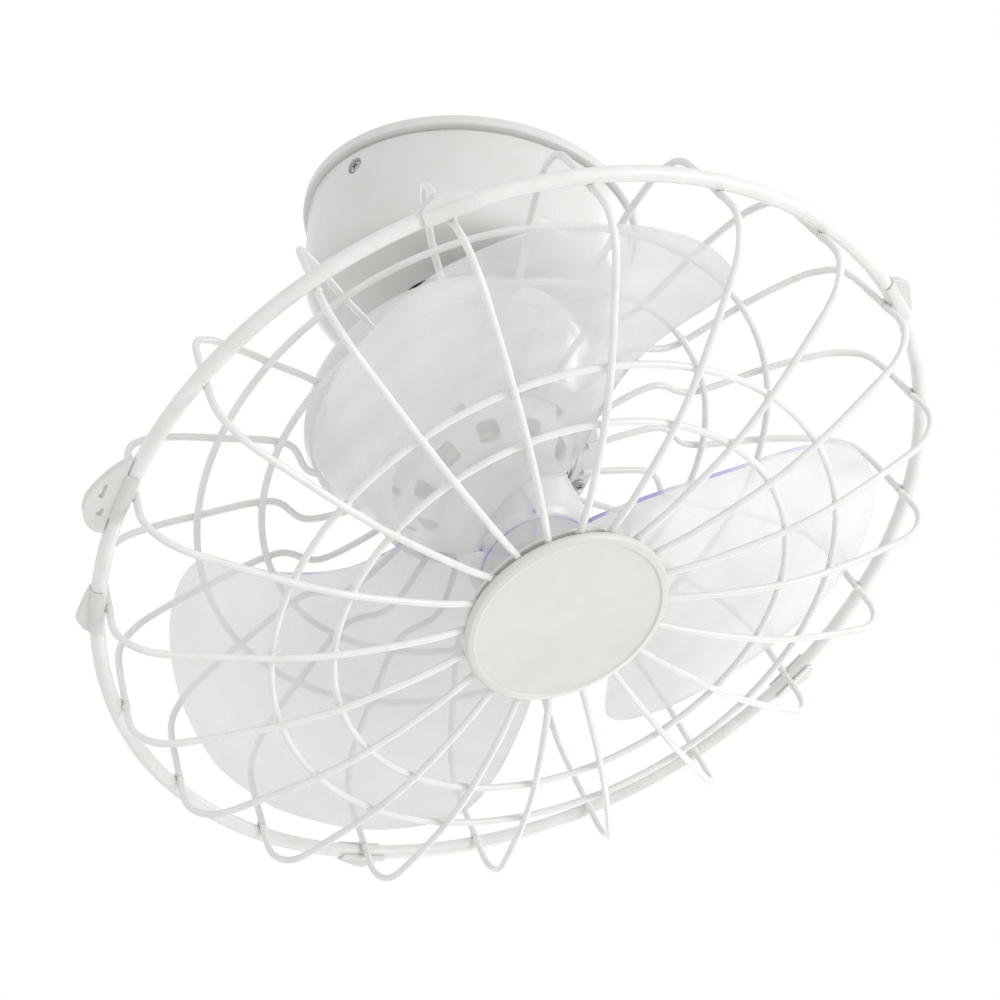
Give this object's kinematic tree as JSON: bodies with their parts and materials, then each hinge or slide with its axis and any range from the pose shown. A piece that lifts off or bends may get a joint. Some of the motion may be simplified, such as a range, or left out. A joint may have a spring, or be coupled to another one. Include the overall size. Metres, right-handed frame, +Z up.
{
  "type": "ceiling fan",
  "caption": "white orbital ceiling fan with a tilted wire-guarded head, translucent blades and a round ceiling cup",
  "frame": {"origin": "centre of the mounting plate's top face, on the ceiling", "axes": "+Z up into the ceiling; +Y and +X along the ceiling, with the head tilted towards +X and a little -Y at rest"},
  "size_m": [0.4383, 0.4552, 0.3695],
  "materials": {
    "white_plastic": "moulded white, satin gloss",
    "cap_plastic": "moulded white, a little smoother",
    "clear_plastic": "translucent, frosted",
    "coated_wire": "white powder-coated steel wire",
    "steel": "turned, bright",
    "zinc": "zinc plated, dull",
    "bronze": "sintered bronze",
    "copper": "enamelled copper winding",
    "dark_plastic": "moulded dark grey"
  },
  "bodies": {
    "base": {"mounting_plate": "zinc", "support_bracket": "zinc", "main_bearing": "steel", "orbit_motor": "zinc", "run_capacitor": "dark_plastic", "terminal_block": "white_plastic", "ceiling_cup": "white_plastic", "cup_screw_1": "steel", "cup_screw_2": "steel", "cup_screw_3": "steel"},
    "crank": {"orbit_motor_shaft": "steel", "crank_shaft": "steel", "crank_retaining_ring": "steel", "pin_collar": "steel"},
    "head": {"head_hub": "zinc", "head_bush": "bronze", "hub_screw_1": "steel", "hub_screw_2": "steel", "hub_screw_3": "steel", "rear_housing": "white_plastic", "front_housing": "white_plastic", "motor_frame": "zinc", "stator_core": "steel", "stator_winding": "copper", "rear_bearing": "bronze", "front_bearing": "bronze", "guard_ring": "coated_wire", "rear_guard": "coated_wire", "rear_hoop_1": "coated_wire", "rear_hoop_2": "coated_wire", "guard_screw_1": "steel", "guard_screw_2": "steel", "guard_screw_3": "steel", "guard_screw_4": "steel", "front_guard": "coated_wire", "front_hoop_1": "coated_wire", "front_hoop_2": "coated_wire", "guard_latch": "white_plastic", "guard_clip_1": "white_plastic", "guard_clip_2": "white_plastic", "guard_clip_3": "white_plastic", "guard_clip_4": "white_plastic", "guard_clip_5": "white_plastic", "front_cap": "cap_plastic", "cap_backplate": "white_plastic", "cap_screw": "steel"},
    "rotor": {"motor_shaft": "steel", "rotor_core": "steel", "drive_pin": "steel", "blade_set": "clear_plastic", "blade_nut": "clear_plastic"}
  },
  "joints": [
    {"name": "orbit_turn", "type": "hinge", "parent": "base", "child": "crank", "pos_m": [0, 0, -0.131], "axis": [0, 0, 1], "continuous": true},
    {"name": "head_swing", "type": "hinge", "parent": "crank", "child": "head", "pos_m": [0, 0, -0.131], "axis": [0.4009, -0.2807, -0.8721], "continuous": true},
    {"name": "blade_spin", "type": "hinge", "parent": "head", "child": "rotor", "pos_m": [0, 0, -0.131], "axis": [0.4009, -0.2807, -0.8721], "continuous": true}
  ],
  "couplings": [
    {"joint": "head_swing", "follows": "orbit_turn", "ratio": 1}
  ]
}
